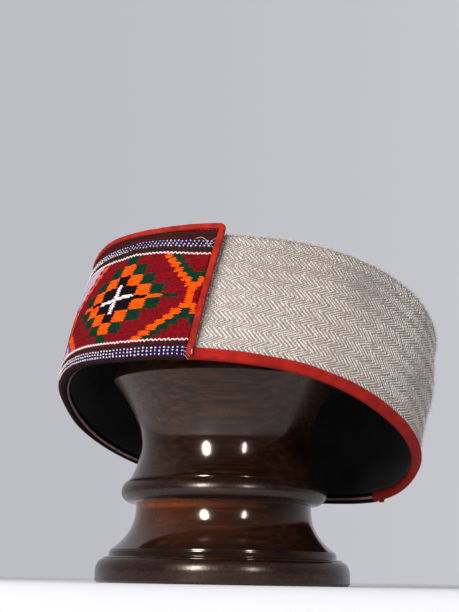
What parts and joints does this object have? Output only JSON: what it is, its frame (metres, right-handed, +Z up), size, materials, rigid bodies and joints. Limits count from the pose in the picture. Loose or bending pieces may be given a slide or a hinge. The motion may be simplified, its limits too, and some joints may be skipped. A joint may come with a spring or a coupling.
{
  "type": "embroidered cap on hat stand",
  "caption": "Round tweed cap with a folded-up patterned front flap and red edging, leaning on a dark turned wooden hat stand.",
  "frame": {"origin": "middle of the stand's flat foot", "axes": "+Z up along the stand's axis; the cap's front faces -Y and it leans 19.4 degrees towards -X"},
  "size_m": [0.2075, 0.1971, 0.1767],
  "materials": {
    "dark_wood": "glossy polish",
    "tweed": "matt herringbone wool",
    "woven_band": "matt patterned weave",
    "red_cloth": "matt cotton",
    "lining_cloth": "matt cotton"
  },
  "bodies": {
    "root": {"hat_stand": "dark_wood", "crown_side": "tweed", "crown_top": "tweed", "lining": "lining_cloth", "front_flap": "woven_band", "flap_binding": "red_cloth", "rim_binding": "red_cloth"}
  },
  "joints": []
}
